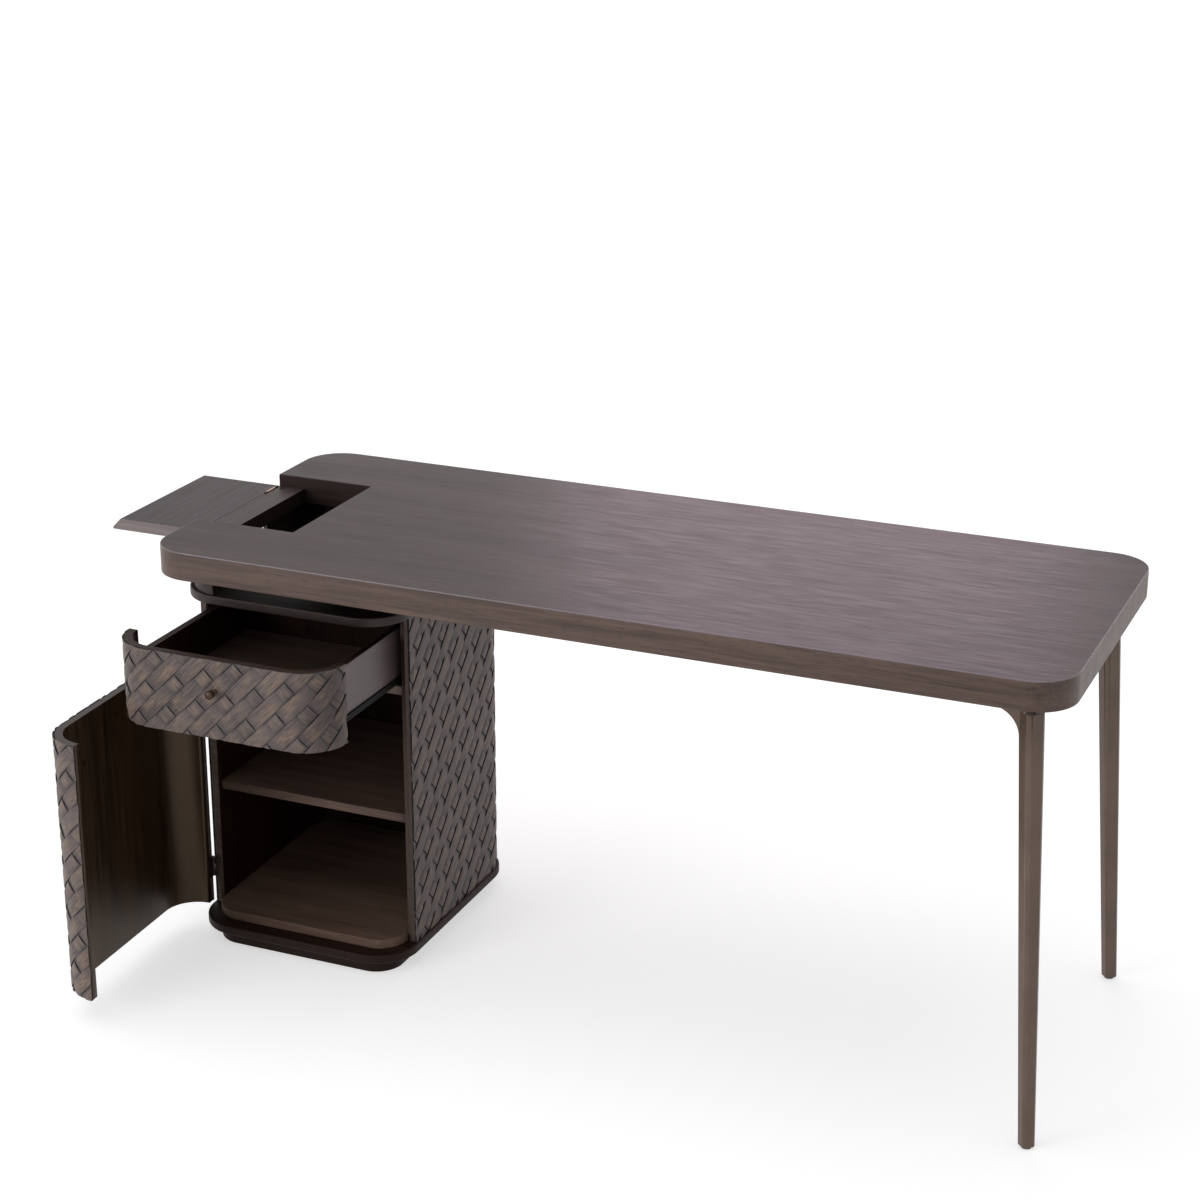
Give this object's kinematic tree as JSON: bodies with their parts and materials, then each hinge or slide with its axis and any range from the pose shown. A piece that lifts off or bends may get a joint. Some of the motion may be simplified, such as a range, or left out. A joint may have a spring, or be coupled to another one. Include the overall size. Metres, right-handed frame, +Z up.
{
  "type": "pedestal writing desk",
  "caption": "Writing desk with a rounded top, a cabinet pedestal faced in basket-weave relief with drawer, hinged door and shelf, splayed metal legs and a fold-over cable flap.",
  "frame": {"origin": "on the floor, at the middle of the pedestal's toe base", "axes": "+X along the desk from the pedestal towards the legs, +Y from the sitter's side to the back, +Z up"},
  "size_m": [1.677, 0.8353, 0.75],
  "materials": {
    "top_wood": "satin, open grain along the length",
    "carcass_wood": "satin, dark stain, upright grain",
    "woven_wood": "satin, carved weave with dark grooves",
    "inner_wood": "satin, dark stain",
    "plinth_wood": "satin, dark stain",
    "leg_bronze": "brushed bronze finish, satin",
    "knob_bronze": "dark bronze, satin",
    "hinge_brass": "brushed",
    "slide_steel": "zinc plated",
    "fixing_steel": "plain",
    "glide_plastic": "matt"
  },
  "bodies": {
    "desk": {"desktop_slab": "top_wood", "cable_bay_rail": "top_wood", "neck_front_wall": "plinth_wood", "neck_rear_wall": "plinth_wood", "neck_right_wall": "plinth_wood", "neck_back_rail": "plinth_wood", "pedestal_top_board": "plinth_wood", "left_side_panel": "carcass_wood", "right_side_panel": "carcass_wood", "back_panel": "carcass_wood", "left_weave_facing": "woven_wood", "right_weave_facing": "woven_wood", "back_weave_facing": "woven_wood", "drawer_divider": "inner_wood", "shelf_board": "inner_wood", "shelf_pins": "fixing_steel", "floor_board": "inner_wood", "plinth_board": "plinth_wood", "toe_base": "plinth_wood", "left_slide_rail": "slide_steel", "right_slide_rail": "slide_steel", "door_hinge_frame_leaves": "hinge_brass", "door_hinge_pins": "hinge_brass", "flap_hinge_rail_leaves": "hinge_brass", "flap_hinge_pins": "hinge_brass", "front_leg": "leg_bronze", "rear_leg": "leg_bronze", "leg_bolts": "fixing_steel", "leg_glides": "glide_plastic"},
    "drawer": {"drawer_front_board": "carcass_wood", "drawer_front_weave": "woven_wood", "drawer_left_side": "inner_wood", "drawer_right_side": "inner_wood", "drawer_back": "inner_wood", "drawer_bottom": "inner_wood", "drawer_knob": "knob_bronze", "drawer_knob_screw": "fixing_steel", "left_slide_runner": "slide_steel", "right_slide_runner": "slide_steel"},
    "door": {"door_board": "carcass_wood", "door_weave": "woven_wood", "door_hinge_door_leaves": "hinge_brass", "door_knob": "knob_bronze", "door_knob_screw": "fixing_steel"},
    "flap": {"cable_flap": "top_wood", "flap_hinge_flap_leaves": "hinge_brass"}
  },
  "joints": [
    {"name": "drawer_slide", "type": "slide", "parent": "desk", "child": "drawer", "axis": [0, -1, 0], "range_m": [-0.213, 0.047]},
    {"name": "door_hinge", "type": "hinge", "parent": "desk", "child": "door", "pos_m": [-0.199, -0.1524, 0.27], "axis": [0, 0, -1], "range_deg": [-88.8, 81.2]},
    {"name": "flap_hinge", "type": "hinge", "parent": "desk", "child": "flap", "pos_m": [-0.1961, -0.013, 0.7292], "axis": [0, 1, 0], "range_deg": [0, 180]}
  ]
}
